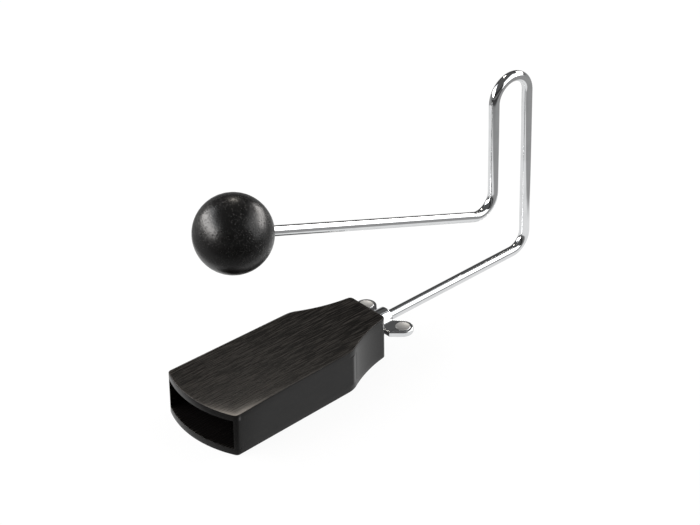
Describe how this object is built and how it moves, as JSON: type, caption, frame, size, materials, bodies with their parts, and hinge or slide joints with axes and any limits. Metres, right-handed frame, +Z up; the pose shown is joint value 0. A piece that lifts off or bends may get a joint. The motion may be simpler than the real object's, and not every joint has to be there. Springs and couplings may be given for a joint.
{
  "type": "vibraslap",
  "caption": "Vibraslap: a bent chromed rod joins a wooden striking ball to a flared wooden sound box, open at the mouth, with loose rattle pins inside and a wing nut at its neck.",
  "frame": {"origin": "middle of the sound box's underside, on the surface that it rests on", "axes": "+Y along the box from its open mouth to the neck and the rod, +Z up, the rod and ball in the plane x = 0"},
  "size_m": [0.0754, 0.3361, 0.1826],
  "materials": {
    "black_wood": "satin",
    "black_ball": "satin",
    "chrome": "polished",
    "steel": "satin",
    "brass": "satin"
  },
  "bodies": {
    "sound_box": {"top_board": "black_wood", "bottom_board": "black_wood", "left_side": "black_wood", "right_side": "black_wood", "neck_block": "black_wood", "threaded_bush": "brass", "rattle_tongue": "steel", "clamp_bar": "steel", "tongue_screws": "steel"},
    "striker": {"rod": "chrome", "ball": "black_ball"},
    "washer": {"clamp_washer": "steel"},
    "wing_nut": {"wing_nut": "chrome"},
    "rattle_pin_left_1": {"rattle_pin_left_1": "steel"},
    "rattle_pin_right_1": {"rattle_pin_right_1": "steel"},
    "rattle_pin_left_2": {"rattle_pin_left_2": "steel"},
    "rattle_pin_right_2": {"rattle_pin_right_2": "steel"},
    "rattle_pin_left_3": {"rattle_pin_left_3": "steel"},
    "rattle_pin_right_3": {"rattle_pin_right_3": "steel"},
    "rattle_pin_left_4": {"rattle_pin_left_4": "steel"},
    "rattle_pin_right_4": {"rattle_pin_right_4": "steel"},
    "rattle_pin_left_5": {"rattle_pin_left_5": "steel"},
    "rattle_pin_right_5": {"rattle_pin_right_5": "steel"},
    "rattle_pin_left_6": {"rattle_pin_left_6": "steel"},
    "rattle_pin_right_6": {"rattle_pin_right_6": "steel"}
  },
  "joints": [
    {"name": "box_swivel", "type": "hinge", "parent": "sound_box", "child": "striker", "pos_m": [0, 0.08, 0.0175], "axis": [0, 1, 0], "range_deg": [-180, 180]},
    {"name": "washer_slide", "type": "slide", "parent": "striker", "child": "washer", "axis": [0, 1, 0], "range_m": [0, 0.00125]},
    {"name": "wing_nut_turn", "type": "hinge", "parent": "washer", "child": "wing_nut", "pos_m": [0, 0.08, 0.0175], "axis": [0, 1, 0], "range_deg": [0, 360]},
    {"name": "pin_left_1_lift", "type": "slide", "parent": "sound_box", "child": "rattle_pin_left_1", "axis": [0, 0, 1], "range_m": [0, 0.0079]},
    {"name": "pin_right_1_lift", "type": "slide", "parent": "sound_box", "child": "rattle_pin_right_1", "axis": [0, 0, 1], "range_m": [0, 0.0079]},
    {"name": "pin_left_2_lift", "type": "slide", "parent": "sound_box", "child": "rattle_pin_left_2", "axis": [0, 0, 1], "range_m": [0, 0.0079]},
    {"name": "pin_right_2_lift", "type": "slide", "parent": "sound_box", "child": "rattle_pin_right_2", "axis": [0, 0, 1], "range_m": [0, 0.0079]},
    {"name": "pin_left_3_lift", "type": "slide", "parent": "sound_box", "child": "rattle_pin_left_3", "axis": [0, 0, 1], "range_m": [0, 0.0079]},
    {"name": "pin_right_3_lift", "type": "slide", "parent": "sound_box", "child": "rattle_pin_right_3", "axis": [0, 0, 1], "range_m": [0, 0.0079]},
    {"name": "pin_left_4_lift", "type": "slide", "parent": "sound_box", "child": "rattle_pin_left_4", "axis": [0, 0, 1], "range_m": [0, 0.0079]},
    {"name": "pin_right_4_lift", "type": "slide", "parent": "sound_box", "child": "rattle_pin_right_4", "axis": [0, 0, 1], "range_m": [0, 0.0079]},
    {"name": "pin_left_5_lift", "type": "slide", "parent": "sound_box", "child": "rattle_pin_left_5", "axis": [0, 0, 1], "range_m": [0, 0.0079]},
    {"name": "pin_right_5_lift", "type": "slide", "parent": "sound_box", "child": "rattle_pin_right_5", "axis": [0, 0, 1], "range_m": [0, 0.0079]},
    {"name": "pin_left_6_lift", "type": "slide", "parent": "sound_box", "child": "rattle_pin_left_6", "axis": [0, 0, 1], "range_m": [0, 0.0079]},
    {"name": "pin_right_6_lift", "type": "slide", "parent": "sound_box", "child": "rattle_pin_right_6", "axis": [0, 0, 1], "range_m": [0, 0.0079]}
  ],
  "couplings": [
    {"joint": "washer_slide", "follows": "wing_nut_turn", "m_per_rad": 0.00019894}
  ]
}
